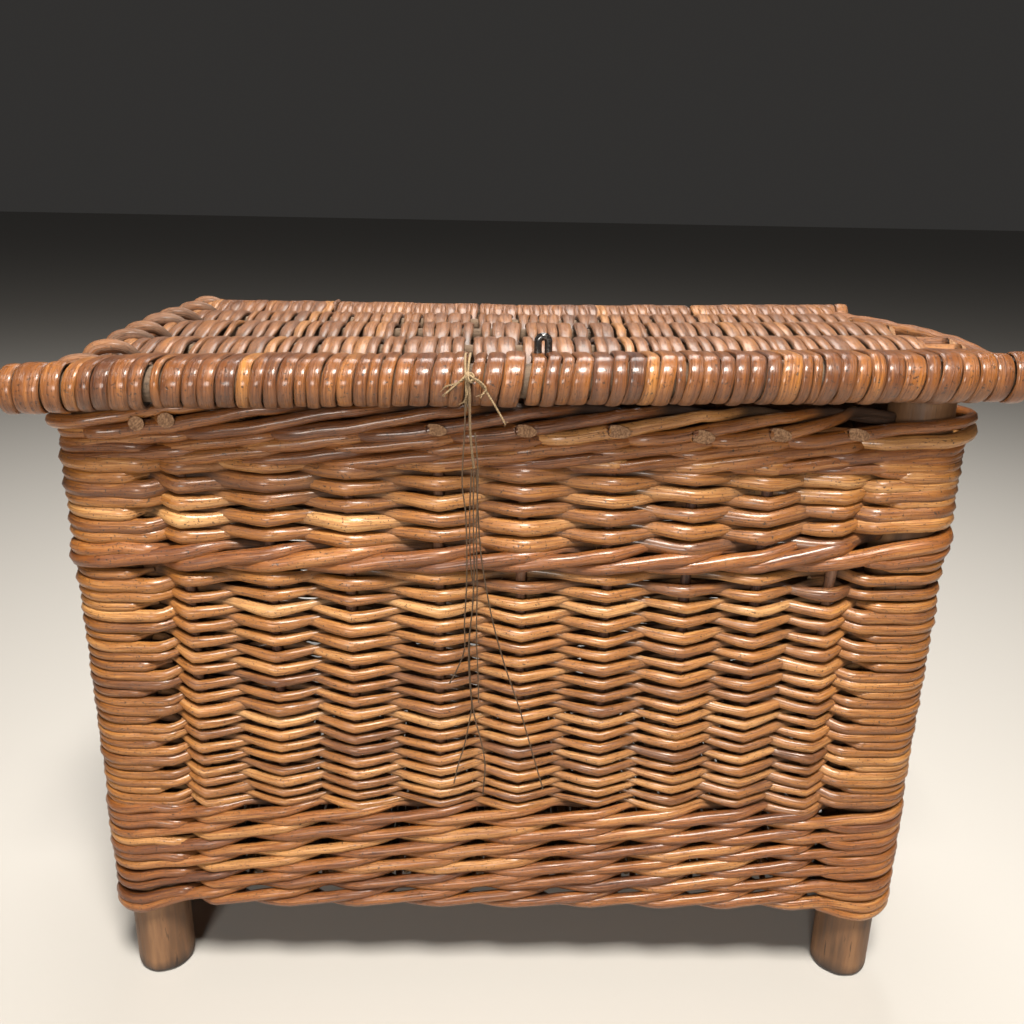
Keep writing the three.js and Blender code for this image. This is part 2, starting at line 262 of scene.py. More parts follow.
def cut_wood(name, colour=(0.40, 0.25, 0.13), ring=(0.17, 0.09, 0.045)):
    """Cut end of a rod: pale dry pith with faint rings and splits."""
    n = Nodes(name)
    place = n.place()
    grain = n.noise(place, 900, 4.0, 0.6)
    blotch = n.noise(place, 220, 2.0)
    shade = n.mix(n.stretch(grain, 0.40, 0.62), ring, colour)
    shade = n.mix(n.stretch(blotch, 0.5, 0.75, 0.0, 0.5), shade, ring)
    return n.finish(shade, 0.75, n.bump(grain, 0.4, 0.8))


def post_wood():
    """Dull bare wood of the corner posts: long grain, darker near the floor."""
    n = Nodes("post_wood")
    place = n.place()
    x, y, z = n.add("ShaderNodeSeparateXYZ", {0: place}).outputs
    stretched = n.join(x, y, n.times(z, 0.12))
    grain = n.noise(stretched, 330, 5.0, 0.6)
    broad = n.noise(stretched, 75, 3.0)
    colour = n.ramp(n.plus(n.times(broad, 0.7), n.times(grain, 0.3)), (
        (0.30, (0.050, 0.024, 0.010)), (0.50, (0.145, 0.070, 0.030)), (0.72, (0.26, 0.135, 0.060))))
    cracks = n.stretch(grain, 0.63, 0.70)
    colour = n.mix(n.times(cracks, 0.8), colour, (0.018, 0.010, 0.006))
    foot = n.stretch(n.plus(z, n.times(broad, 0.016)), 0.010, 0.020, 0.85, 0.0)
    colour = n.mix(foot, colour, (0.020, 0.013, 0.010))
    bump = n.bump(broad, 0.8, 0.6, n.bump(grain, 0.5, 0.8))
    return n.finish(colour, n.stretch(grain, 0.3, 0.7, 0.50, 0.72), bump)


def black_enamel():
    """Glossy black wire, with dust and small scratches."""
    n = Nodes("black_wire")
    place = n.place()
    marks = n.noise(place, 700, 4.0, 0.7)
    colour = n.mix(n.stretch(marks, 0.52, 0.75), (0.010, 0.009, 0.009), (0.075, 0.066, 0.058))
    return n.finish(colour, n.stretch(marks, 0.4, 0.7, 0.13, 0.34), n.bump(marks, 0.08, 0.6), 0.6, 0.08)


def twine_fibre(name, pale, dark):
    """Dry fibre twine: fine streaks along each ply."""
    n = Nodes(name)
    place = n.place()
    fibre = n.noise(place, 1600, 3.0, 0.6)
    blotch = n.noise(place, 160, 2.0)
    colour = n.mix(n.stretch(fibre, 0.35, 0.65), dark, pale)
    colour = n.mix(n.stretch(blotch, 0.45, 0.75, 0.0, 0.5), colour, dark)
    return n.finish(colour, 0.85, n.bump(fibre, 0.12, 0.8))


def pale_ground():
    return Nodes("pale_floor").finish((0.46, 0.445, 0.42, 1), 0.65)


WALL_TONES = ((0.10, (0.060, 0.016, 0.003)), (0.35, (0.155, 0.052, 0.010)),
              (0.60, (0.30, 0.114, 0.019)), (0.90, (0.50, 0.265, 0.095)))
RICH_TONES = ((0.10, (0.050, 0.012, 0.002)), (0.35, (0.130, 0.038, 0.007)),
              (0.60, (0.25, 0.083, 0.013)), (0.90, (0.43, 0.205, 0.062)))
LID_TONES = ((0.10, (0.048, 0.012, 0.002)), (0.35, (0.125, 0.036, 0.005)),
             (0.60, (0.225, 0.074, 0.010)), (0.90, (0.38, 0.155, 0.030)))
STAKE_TONES = ((0.10, (0.050, 0.018, 0.010)), (0.45, (0.115, 0.045, 0.022)),
               (0.90, (0.21, 0.095, 0.045)))
STICK_TONES = ((0.10, (0.040, 0.024, 0.013)), (0.45, (0.100, 0.062, 0.035)),
               (0.90, (0.19, 0.125, 0.075)))

wall_willow = willow("wall_willow", WALL_TONES)
wale_willow = willow("wale_willow", RICH_TONES)
border_willow = willow("border_willow", RICH_TONES, coat=0.40, roughness=0.36)
lid_willow = willow("lid_willow", LID_TONES, coat=0.36, roughness=0.38, dusting=0.45)
lid_rod_willow = willow("lid_rod_willow", LID_TONES, coat=0.10, roughness=0.50, dusting=0.6)
stake_willow = willow("stake_willow", STAKE_TONES, coat=0.2, dusting=0.2)
stick_wood = willow("stick_wood", STICK_TONES, coat=0.0, roughness=0.72, dusting=0.9)
base_willow = willow("base_willow", WALL_TONES, coat=0.1, roughness=0.5)
end_wood = cut_wood("cut_end")
pale_end_wood = cut_wood("pale_cut_end", (0.38, 0.215, 0.11), (0.15, 0.07, 0.03))
post_material = post_wood()
wire_material = black_enamel()
knot_fibre = twine_fibre("twine", (0.37, 0.27, 0.15), (0.13, 0.08, 0.038))
lead_fibre = twine_fibre("twine_lead_fibre", (0.21, 0.14, 0.072), (0.075, 0.044, 0.021))
strand_fibre = twine_fibre("twine_strand", (0.10, 0.058, 0.026), (0.030, 0.015, 0.007))


# ---------------------------------------------------------------- meshes


class Bundle:
    """Rods swept along lines, gathered into one mesh."""

    def __init__(self):
        self.places, self.look, self.uvs = [], [], []
        self.loops, self.sizes, self.slots = [], [], []
        self.count = 0

    def sweep(self, line, radius, up, tone, dust_and_shade=0.0, seed=0.0, flat=1.0, sides=8,
              square=1.0, cut=0.0, facing=None):
        """Adds a rod. radius is half its width across up, and flat times that half its other
        thickness. cut slants its last face so that it looks along facing."""
        line = np.asarray(line, float)
        tangent = headings(line)
        across = unit(np.cross(np.broadcast_to(up, line.shape), tangent))
        lift = np.cross(tangent, across)
        turn = np.arange(sides) / sides * FULL_TURN
        cos = np.sign(np.cos(turn)) * np.abs(np.cos(turn)) ** square
        sin = np.sign(np.sin(turn)) * np.abs(np.sin(turn)) ** square
        high = np.broadcast_to(radius, len(line))[:, None]
        wide = high * np.broadcast_to(flat, len(line))[:, None]
        offset = across[:, None] * (wide * cos)[..., None] + lift[:, None] * (high * sin)[..., None]
        rings = line[:, None] + offset
        if cut:
            rings[-1] -= tangent[-1] * (offset[-1] @ facing * cut)[:, None]
        self.skin(rings, travelled(line) * MM, tone, dust_and_shade, seed)

    def skin(self, rings, length, tone, dust_and_shade, seed):
        """Adds a skin over rings of points, closed at both ends."""
        number, sides = rings.shape[:2]
        look = np.empty((number, sides, 4), np.float32)
        look[:] = (0, 0, seed, 1)
        look[..., 0] = np.broadcast_to(tone, number)[:, None]
        look[..., 1] = np.broadcast_to(dust_and_shade, number)[:, None]
        row, column = np.meshgrid(np.arange(number - 1), np.arange(sides), indexing="ij")
        after = (column + 1) % sides
        quads = np.stack([row * sides + column, row * sides + after,
                          (row + 1) * sides + after, (row + 1) * sides + column], -1)
        u = np.stack([length[row], length[row], length[row + 1], length[row + 1]], -1)
        v = np.stack([column, column + 1, column + 1, column], -1) / sides
        self._add(rings.reshape(-1, 3), look.reshape(-1, 4), quads.reshape(-1, 4), 0, u, v)
        # Each end has its own copy of the ring, so that its edge stays sharp.
        order = np.arange(sides)
        for end, face in ((0, order[::-1]), (-1, order)):
            end_look = look[end].copy()
            end_look[:, 1] = 0
            angle = face / sides * FULL_TURN
            self._add(rings[end], end_look, face[None], 1,
                      length[end] + 0.004 * np.cos(angle), 0.5 + 0.4 * np.sin(angle))

    def _add(self, places, look, faces, slot, u, v):
        self.places.append(places)
        self.look.append(look)
        self.loops.append((faces.ravel() + self.count).astype(np.int32))
        self.sizes.append(np.full(len(faces), faces.shape[1], np.int32))
        self.slots.append(np.full(len(faces), slot, np.int32))
        self.uvs.append(np.stack([u, v], -1).reshape(-1, 2))
        self.count += len(places)

    def piece(self, name, body, slot, materials, *nodes):
        """Makes the mesh object, which rides on a body and stands for the CAD nodes."""
        mesh = bpy.data.meshes.new(name)
        places = np.concatenate(self.places) * MM
        loops = np.concatenate(self.loops)
        sizes = np.concatenate(self.sizes)
        mesh.vertices.add(len(places))
        mesh.vertices.foreach_set("co", places.astype(np.float32).ravel())
        mesh.loops.add(len(loops))
        mesh.loops.foreach_set("vertex_index", loops)
        mesh.polygons.add(len(sizes))
        starts = np.concatenate([[0], np.cumsum(sizes)[:-1]]).astype(np.int32)
        mesh.polygons.foreach_set("loop_start", starts)
        mesh.polygons.foreach_set("material_index", np.concatenate(self.slots))
        layer = mesh.uv_layers.new(name="rod")
        layer.data.foreach_set("uv", np.concatenate(self.uvs).astype(np.float32).ravel())
        look = mesh.attributes.new("look", "FLOAT_COLOR", "POINT")
        look.data.foreach_set("color", np.concatenate(self.look).ravel())
        mesh.update(calc_edges=True)
        mesh.validate()
        mesh.shade_smooth()
        for material in materials:
            mesh.materials.append(material)
        return settle(add_object(name, mesh), body, slot, *nodes)


def settle(item, body, slot, *nodes):
    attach(item, body)
    if nodes:
        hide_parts(*nodes)
    return item


def curve_through(points, step=4.0):
    """A smooth line through given points, about step apart."""
    points = np.asarray(points, float)
    padded = np.concatenate([[2 * points[0] - points[1]], points, [2 * points[-1] - points[-2]]])
    line = []
    for before, start, stop, after in zip(padded, padded[1:], padded[2:], padded[3:]):
        count = max(2, int(np.linalg.norm(stop - start) / step) + 1)
        t = np.linspace(0, 1, count, endpoint=False)[:, None]
        line.append(0.5 * (2 * start + (stop - before) * t
                           + (2 * before - 5 * start + 4 * stop - after) * t ** 2
                           + (3 * start - before - 3 * stop + after) * t ** 3))
    return np.concatenate([*line, points[-1:]])


def wobble(line, rng, size):
    """A slow random wave along a line, about size high."""
    waves = (31.0, 58.0, 127.0)
    phases = rng.uniform(0, FULL_TURN, len(waves))
    turns = FULL_TURN * travelled(line)
    return size * sum(np.sin(turns / wave + phase) for wave, phase in zip(waves, phases)) / 2


def rod_radius(line, rng, radius, taper=0.12):
    """A rod's radius: thicker at its butt, with faint swellings."""
    ends = rng.permutation([1 + taper, 1 - taper])
    return radius * np.linspace(*ends, len(line)) + wobble(line, rng, 0.05 * radius)


def some_tone(rng, low=0.44, high=0.68):
    """Most rods are middling, with a few dark or pale ones."""
    odd = rng.random()
    if odd < 0.05:
        return rng.uniform(0.34, low)
    if odd > 0.93:
        return rng.uniform(high, 0.86)
    return rng.uniform(low, high)


# ---------------------------------------------------------------- camera

FRONT_FACE = corners("lower_rand")[0][1]


def make_camera():
    """Stands a little above the lid, in front, and looks slightly down."""
    distance, height, aside = 568.05, 554.4, -11.0
    pitch, yaw, roll = math.radians(18.30), math.radians(1.0), math.radians(1.126)
    ahead = Vector((math.sin(yaw) * math.cos(pitch), math.cos(yaw) * math.cos(pitch), -math.sin(pitch)))
    level = Vector((math.cos(yaw), -math.sin(yaw), 0))
    upright = level.cross(ahead)
    right = level * math.cos(roll) + upright * math.sin(roll)
    top = upright * math.cos(roll) - level * math.sin(roll)
    data = bpy.data.cameras.new("camera")
    data.sensor_width = 36
    data.lens = 33.93
    camera = add_object("camera", data)
    turn = Matrix((right, top, -ahead)).transposed().to_4x4()
    place = Vector((aside, FRONT_FACE - distance, height)) * MM
    camera.matrix_world = Matrix.Translation(place) @ turn
    bpy.context.scene.camera = camera


make_camera()


# ---------------------------------------------------------------- twine

# Routes from the knot down the front, top to bottom, with y from the basket's front face.
LEAD_ROUTE = ((-27.4, -38.6, 456), (-26.6, -38.6, 448), (-26.5, -38.4, 441), (-26.2, -38.2, 427),
              (-25.2, -37.2, 415), (-24, -36, 404.5))
STRAND_ROUTES = (
    ((-29, -39.6, 443), (-29.2, -39.8, 429), (-30.3, -38.6, 408), (-30.6, -36, 393),
     (-28.6, -33.6, 375), (-28, -30, 347), (-28.4, -25, 324), (-29.6, -21, 300),
     (-29.6, -17.6, 281), (-34.3, -14, 265), (-39.5, -12, 253.5)),
    ((-25.3, -34.8, 403.4), (-26.2, -33, 384), (-26.3, -30.4, 357), (-25.4, -27, 338),
     (-24, -23, 321), (-26.5, -17, 288), (-26.2, -13.6, 261), (-25.1, -12, 237),
     (-27.4, -10.6, 220), (-30.1, -9.6, 205), (-33.4, -9, 193), (-36.7, -9, 177)),
    ((-24, -36.6, 403), (-24.2, -35, 385), (-24, -32.4, 358), (-23.6, -29.4, 339),
     (-24.6, -25.4, 313), (-27, -19.4, 283), (-26, -15.4, 253), (-23, -13, 230),
     (-19, -11.6, 212), (-16, -10.4, 193), (-17.2, -9, 168.5)),
    ((-22.7, -35.4, 403.4), (-21.6, -33, 380), (-20, -29.6, 353), (-17.5, -26, 333),
     (-12, -20, 301), (-4.2, -15, 269), (6.6, -12, 234), (15.8, -10, 200), (23.4, -9, 172.5)),
    ((-23.4, -39.8, 426), (-21.6, -38.8, 403), (-22.2, -36.6, 372), (-22, -33, 344),
     (-21.8, -28, 326), (-22, -22, 291), (-21, -18, 264), (-20.4, -16, 242)),
)
LEAD_RADIUS = 0.9
STRAND_RADIUS = 0.45


def from_front_face(points):
    return np.array(points, float) + (0, FRONT_FACE, 0)


def ply_line(line, turn_every, radius, phase):
    """A ply that winds round a line, with a turn every so many millimetres."""
    tangent = headings(line)
    side = unit(np.cross(tangent, ALONG_X))
    angle = (FULL_TURN * travelled(line) / turn_every + phase)[:, None]
    return line + radius * (np.cos(angle) * side + np.sin(angle) * np.cross(tangent, side))


def declare_cord(item, line, radius, **more):
    float(travelled(line)[-1]) * MM


def make_lead():
    line = curve_through(from_front_face(LEAD_ROUTE), 1.0)
    bundle = Bundle()
    plies = 3
    for ply in range(plies):
        winding = ply_line(line, 5.0, LEAD_RADIUS * 0.50, FULL_TURN * ply / plies)
        bundle.sweep(winding, LEAD_RADIUS * 0.50, ALONG_X, 0.5, sides=6)
    item = bundle.piece("twine_lead_cord", "lid", "twine", (lead_fibre, lead_fibre), "twine_lead")
    declare_cord(item, line, LEAD_RADIUS, path=line * MM)


def make_strand(index, route):
    line = curve_through(from_front_face(route), 4.0)
    name = f"twine_strand_{index}_cord"
    data = bpy.data.curves.new(name, "CURVE")
    data.dimensions = "3D"
    spline = data.splines.new("POLY")
    spline.points.add(len(line) - 1)
    for point, place in zip(spline.points, line * MM):
        point.co = (*place, 1)
    data.bevel_depth = STRAND_RADIUS * MM
    data.bevel_resolution = 2
    data.use_fill_caps = True
    data.materials.append(strand_fibre)
    item = settle(add_object(name, data), "lid", "twine", f"twine_strand_{index}")
    declare_cord(item, line, STRAND_RADIUS)


make_lead()
for index, route in enumerate(STRAND_ROUTES, 1):
    make_strand(index, route)

# Short tails of the knot: three spread out, one hangs beside the lead.
KNOT_TAILS = (
    ((-25.9, -38, 457.4), (-20.1, -37, 452.6), (-13.7, -36, 443), (-7.2, -35, 431.6)),
    ((-27.9, -37, 458.8), (-31.8, -38, 455), (-39.7, -36, 447.7)),
    ((-27.9, -37, 457.8), (-32.6, -37, 454), (-40.1, -35, 451.1)),
    ((-26.7, -38, 452.7), (-27.8, -38, 447.9), (-29.7, -36, 442.7)),
    ((-26.2, -37.6, 456.6), (-22, -38, 455.6), (-17.6, -38, 451), (-19.6, -38.6, 447.4)),
)


def make_knot():
    """The tie round the front roll, the knot's loops and its tails."""
    bundle = Bundle()
    rng = np.random.default_rng(41)
    stick = middle("lid_front_stick")
    radius = half_size("twine_knot")[2] - 1.2
    angle = np.linspace(0, FULL_TURN, 61)
    for shift in (-1.0, 0.9):
        ring = line_of(middle("twine_knot")[0] + shift,
                       stick[1] + radius * np.sin(angle), stick[2] + radius * np.cos(angle))
        ring[:, 0] += 0.5 * np.sin(2 * angle + shift)
        bundle.sweep(ring, 0.75, ALONG_X, 0.5, sides=6)
    centre = from_front_face([(-26.8, -37.6, 456.8)])[0]
    for _ in range(7):
        tilt = unit(rng.normal(size=3))
        side = unit(np.cross(tilt, (0.3, 0.2, 1.0)))
        other = np.cross(tilt, side)
        size = rng.uniform(1.5, 2.6)
        loop = (centre + rng.normal(scale=0.5, size=3)
                + size * (np.cos(angle)[::3, None] * side + np.sin(angle)[::3, None] * other))
        bundle.sweep(loop, 0.6, tilt, 0.5, sides=6)
    for tail in KNOT_TAILS:
        line = curve_through(from_front_face(tail), 0.8)
        for ply in range(2):
            winding = ply_line(line, 3.6, 0.32, math.pi * ply)
            bundle.sweep(winding, 0.42, ALONG_X, 0.5, sides=5)
        for _ in range(4):
            start = line[-1] + rng.normal(scale=0.3, size=3)
            stop = start + (line[-1] - line[-4]) * 0.9 + rng.normal(scale=1.0, size=3)
            bundle.sweep(np.linspace(start, stop, 3), 0.14, ALONG_X, 0.5, sides=4)
    bundle.piece("twine_knot_tie", "lid", "twine", (knot_fibre, knot_fibre), "twine_knot")


make_knot()


# ---------------------------------------------------------------- wall: where rods run

# Each side comes after the post of the same place in the list.
POSTS = ("corner_post_front_left", "corner_post_front_right",
         "corner_post_back_right", "corner_post_back_left")
SIDES = ("front", "right", "back", "left")


def upright_nodes():
    """The 28 uprights in the order in which the weave meets them."""
    front = [f"stake_front_{i}" for i in range(1, 10)]
    right = [f"stake_right_{i}" for i in range(1, 4)]
    back = [f"stake_back_{i}" for i in range(9, 0, -1)]
    left = [f"stake_left_{i}" for i in range(3, 0, -1)]
    return [POSTS[0], *front, POSTS[1], *right, POSTS[2], *back, POSTS[3], *left]


UPRIGHTS = upright_nodes()
ROUND = len(UPRIGHTS)
POST_PLACES = [UPRIGHTS.index(post) for post in POSTS]
# The wall's thickness, and how deep in it the rods run outside and inside the uprights
WALL = 19.5
OUTER_DEPTH = 3.1
INNER_DEPTH = WALL - 2.95
POST_RADIUS = half_size(POSTS[0])[0]
POST_INSET = middle(POSTS[0])[0] - corners("lower_rand")[0][0]
# How far beyond a post's arc a rod keeps straight
INSIDE_GRIP = 5
OUTSIDE_GRIP = 27


class Ring:
    """A closed line round the wall at a depth below its outer face, which passes each corner post
    outside or inside, and the place on it of each upright."""

    def __init__(self, depth):
        arcs = [self._corner(index, depth) for index in range(4)]
        outline = np.concatenate(arcs + [arcs[0][:1]])
        outline_length = travelled(outline)
        self.total = outline_length[-1]
        self.length = np.linspace(0, self.total, int(self.total) + 1)
        self.points = interp_points(self.length, outline_length, outline)
        self.half_arc = travelled(arcs[0])[-1] / 2
        marks = [self._nearest(middle(node)[:2]) for node in UPRIGHTS]
        for place, arc in zip(POST_PLACES, arcs):
            marks[place] = self._nearest(arc[0]) + self.half_arc
        self.marks = np.array([*marks, marks[0] + self.total])

    @staticmethod
    def _corner(index, depth):
        centre = middle(POSTS[index])[:2]
        quarter = math.pi / 2
        if depth < WALL / 2:
            start = math.pi + quarter * index
            angle = np.linspace(start, start + quarter, 25)
            radius = POST_INSET - depth
        else:
            radius = POST_RADIUS + 3.0
            half = quarter / 2 + math.asin((POST_INSET - depth) / radius)
            middle_angle = quarter / 2 + quarter * index
            angle = np.linspace(middle_angle + half, middle_angle - half, 41)
        return centre + radius * np.stack([np.cos(angle), np.sin(angle)], -1)

    def _nearest(self, place):
        away = np.linalg.norm(self.points[:-1] - place, axis=1)
        return self.length[int(np.argmin(away))]

    def at(self, u):
        along = np.interp(u % ROUND, np.arange(ROUND + 1), self.marks) % self.total
        return interp_points(along, self.length, self.points)


OUTER = Ring(OUTER_DEPTH)
INNER = Ring(INNER_DEPTH)
GAPS_OUT = np.diff(OUTER.marks)
GAPS_IN = np.diff(INNER.marks)


def hold(upright, gap, inside):
    """The share of a gap beside a corner post in which a rod keeps to the post's own arc."""
    if upright % ROUND not in POST_PLACES:
        return 0.0
    if inside:
        return (INNER.half_arc + INSIDE_GRIP) / GAPS_IN[gap % ROUND]
    return (OUTER.half_arc + OUTSIDE_GRIP) / GAPS_OUT[gap % ROUND]


def gap_samples(start, stop):
    """Places along the wall from start to stop, closer together where a rod turns a corner."""
    places = [np.array([start])]
    for gap in range(math.floor(start), math.ceil(stop)):
        near_post = gap % ROUND in POST_PLACES or (gap + 1) % ROUND in POST_PLACES
        inner = gap + np.linspace(0, 1, 20 if near_post else 12)[:-1]
        places.append(inner[(inner > start + 0.02) & (inner < stop - 0.02)])
    return np.concatenate([*places, [stop]])


def within_gap(u, sides):
    """For each place: its gap, how far it is through the gap, and which side it is on.
    sides(upright) is 0 outside the upright and 1 inside it."""
    gap = np.floor(u).astype(int)
    share = np.empty(len(u))
    depth = np.empty(len(u))
    for g in np.unique(gap):
        here = gap == g
        first, last = sides(g), sides(g + 1)
        start = hold(g, g, first > 0.5)
        stop = hold(g + 1, g, last > 0.5)
        t = np.clip((u[here] - g - start) / (1 - start - stop), 0, 1)
        eased = 0.5 * (0.5 - 0.5 * np.cos(math.pi * t)) + 0.5 * t
        share[here] = t
        depth[here] = first + (last - first) * eased
    return gap, share, depth


def on_wall(u, depth, height, proud=0.0):
    """Points on the wall: depth 0 is the outer line and 1 the inner one. proud moves them out."""
    outer, inner = OUTER.at(u), INNER.at(u)
    place = outer + (inner - outer) * np.asarray(depth)[:, None]
    along = unit(OUTER.at(u + 0.01) - OUTER.at(u - 0.01))
    outward = np.stack([along[:, 1], -along[:, 0]], -1)
    place = place + outward * np.broadcast_to(proud, len(u))[:, None]
    return np.column_stack([place, height])


def settle_wall(points):
    """The wall's own sag: its front lifts where the middle wale climbs to the right corner."""
    x, y, z = points.T
    bump = smoothstep(300, 345, z) * (1 - smoothstep(352, 405, z))
    front = 1 - smoothstep(FRONT_FACE + 40, FRONT_FACE + 110, y)
    points = points.copy()
    points[:, 2] += 10 * smoothstep(140, 270, x) * bump * front
    return points


def lift_share(t, at_middle):
    """A rise from 0 to 1 that has come to at_middle half way."""
    pull = 2 * at_middle - 0.5
    return 2 * (1 - t) * t * pull + t * t


def lean(upright):
    """1 where rods dip steeply to an upright and leave it level, -1 where it is the other way."""
    return float(np.interp(upright % ROUND, (*POST_PLACES, ROUND), (1, -1, 1, -1, 1)))


def rise_left(upright):
    """How much of its rise a rod has half way before an upright that it passes outside."""
    return 0.53 + 0.27 * lean(upright)


def rise_right(upright):
    return 0.53 - 0.27 * lean(upright)


def rand_height(gap, t, sides, level):
    """Height of a plain-weave rod: lowest outside an upright, highest inside the next."""
    height = np.empty(len(t))
    for g in np.unique(gap):
        here = gap == g
        if sides(g) < sides(g + 1):
            share = lift_share(t[here], rise_right(g))
        else:
            share = 1 - lift_share(1 - t[here], rise_left(g + 1))
        height[here] = level(g) + (level(g + 1) - level(g)) * share
    return height


def side_name(u):
    """The side of the basket that a place on the wall belongs to."""
    return SIDES[np.searchsorted(POST_PLACES, u % ROUND, side="right") - 1]


def from_post(u):
    """How many uprights a place is from its nearest corner post."""
    away = [np.abs((u - post + ROUND / 2) % ROUND - ROUND / 2) for post in POST_PLACES]
    return np.min(away, axis=0)


def add_wall_rod(bundle, rng, u, depth, height, radius, tips, proud=0.0, waist=0.66):
    """A rod of the wall. tips is how much its ends taper, and waist how thick it is, for its
    size, where it crosses between the uprights."""
    tone = some_tone(rng)
    line = settle_wall(on_wall(u, depth, height, proud))
    line[:, 2] += wobble(line, rng, 0.35)
    radii = rod_radius(line, rng, radius) * np.interp(depth, (0, 0.12, 0.5, 1), (1.06, 1.0, waist, 1.22))
    ends = np.minimum(np.arange(len(u)), np.arange(len(u))[::-1])
    radii *= 1 - tips * (1 - smoothstep(0, 4, ends))
    # Painted shade: rods darken where they run deep in the wall and along its inside.
    dust_and_shade = np.interp(depth, (0.08, 0.3, 0.5, 0.75, 1.0), (0, 0.14, 0.52, 0.78, 0.58))
    bundle.sweep(line, radii, UP, tone, dust_and_shade, rng.random())


def wall_bundles():
    return {side: Bundle() for side in SIDES}


def finish_band(bundles, band, slot, material):
    for side, bundle in bundles.items():
        bundle.piece(f"{band}_{side}", "basket", slot, (material, end_wood), band)


# ---------------------------------------------------------------- wall: plain weave


def rand_rows(foot, top, count, start_pitch, stop_pitch):
    """Heights of the rows of one family of rods, whose pitch grows upwards."""
    pitches = np.linspace(start_pitch, stop_pitch, count)
    pitches *= (top - foot) / pitches.sum()
    return foot + np.concatenate([[0], np.cumsum(pitches)[:-1]]), pitches


def row_drift(upright, pitch):
    """How far the two families of rods have moved apart at an upright."""
    return 0.25 * pitch * (1 - lean(upright))


def weave_rand(band, foot, top, count, pitches, radius, rise, waist, seed):
    """A band of plain weave: two families of rods that pass alternate uprights outside, and
    short packing rods round each corner post. radius is a share of the pitch."""
    rng = np.random.default_rng(seed)
    rows, pitches = rand_rows(foot, top, count, *pitches)
    bundles = wall_bundles()
    for row, (base, pitch) in enumerate(zip(rows, pitches)):
        for family in (0, 1):
            jitter = rng.normal(scale=0.45, size=ROUND)
            room = np.clip((top - base) / (3 * pitch), 0.35, 1.0)
            squeeze = pitch / 3 if row % 2 else 0.0

            def sides(upright):
                return (upright + family) % 2

            def level(upright):
                drift = row_drift(upright, pitch)
                at = base + (-drift if family else drift) + jitter[upright % ROUND]
                if sides(upright):
                    at += rise * room
                elif upright % ROUND in POST_PLACES:
                    at -= squeeze
                return at

            start = int(rng.integers(0, ROUND // 2)) * 2 + 1 - family
            lap = 0.22
            reached = 0
            while reached < ROUND:
                span = min(int(rng.integers(2, 5)) * 2, ROUND - reached)
                first = start + reached
                u = gap_samples(first - lap, first + span + lap)
                gap, t, depth = within_gap(u, sides)
                height = rand_height(gap, t, sides, level)
                depth += 0.16 * (1 - smoothstep(0, 0.4, u - u[0]))
                height += 1.5 * (1 - smoothstep(0, 0.5, u - u[0]))
                side = side_name(first + span / 2)
                plump, thin = (1.0, waist) if side == "front" else (1.08, 1.0)
                size = radius * pitch * rng.uniform(0.90, 1.10) * plump
                add_wall_rod(bundles[side], rng, u, depth, height, size, 0.3, waist=thin)
                reached += span
        if row % 2:
            for post in POST_PLACES:
                height = base + pitch / 3 + row_drift(post, pitch)
                pack_corner(bundles[side_name(post + 0.5)], rng, post, height, radius * pitch)
    finish_band(bundles, band, "wall_willow", wall_willow)


def pack_corner(bundle, rng, post, height, radius):
    """A short rod round a corner post, whose ends are tucked between the rows."""
    reach = rng.uniform(0.60, 0.74, 2)
    u = gap_samples(post - reach[0], post + reach[1])
    away = np.where(u < post, (post - u) / reach[0], (u - post) / reach[1])
    depth = 0.6 * smoothstep(0.72, 1.0, away)
    add_wall_rod(bundle, rng, u, depth, np.full(len(u), height), radius * rng.uniform(0.84, 0.98), 0.4)


# ---------------------------------------------------------------- wall: wales and border


def wale_height(t):
    """Height of a wale stroke, as a share of its rise, 0 to 3 uprights after it goes inside."""
    return np.interp(t, (0, 0.25, 0.5, 1, 2, 2.45, 2.75, 3), (0.5, 0.2, 0.04, 0.26, 0.74, 0.95, 0.8, 0.5))


def front_climb(u):
    """How far a place is up the slope to the right along the front, which ends past the corner."""
    beyond = u % ROUND - POST_PLACES[1]
    return smoothstep(-5, 0, beyond) * (1 - smoothstep(0, 3, beyond))


def weave_wale(band, rounds, foot, pitch, rise, radius, seed, proud, dip=0.0, climb=0.0):
    """Rounds of three-rod wale: each rod goes outside two uprights and inside the third. dip is
    how far the lowest rounds sag at the posts, and climb how far the front rises to the right."""
    rng = np.random.default_rng(seed)
    seam = POST_PLACES[3] + 2
    lap = 0.15
    bundles = wall_bundles()
    for turn in range(rounds):
        base = foot + pitch * turn
        for strand in range(3):
            stroke = strand
            while stroke < ROUND:
                strokes = min(int(rng.integers(2, 4)), math.ceil((ROUND - stroke) / 3))
                first = seam + stroke
                last = first + 3 * strokes
                u = gap_samples(first - lap, last + lap)
                depth = within_gap(u, lambda upright: float((upright - first) % 3 == 0))[2]
                height = base + rise * wale_height((u - first) % 3) + rng.normal(scale=0.4)
                near_post = 1 - smoothstep(0.2, 0.75, from_post(u))
                height += climb * front_climb(u) - dip * near_post * (1 - smoothstep(0, 2, turn))
                size = radius * rng.uniform(0.93, 1.08)
                out = proud * (1 - np.clip(depth, 0, 1))
                add_wall_rod(bundles[side_name((first + last) / 2)], rng, u, depth, height, size, 0.3, out)
                stroke += 3 * strokes
    finish_band(bundles, band, "wale_willow", wale_willow)


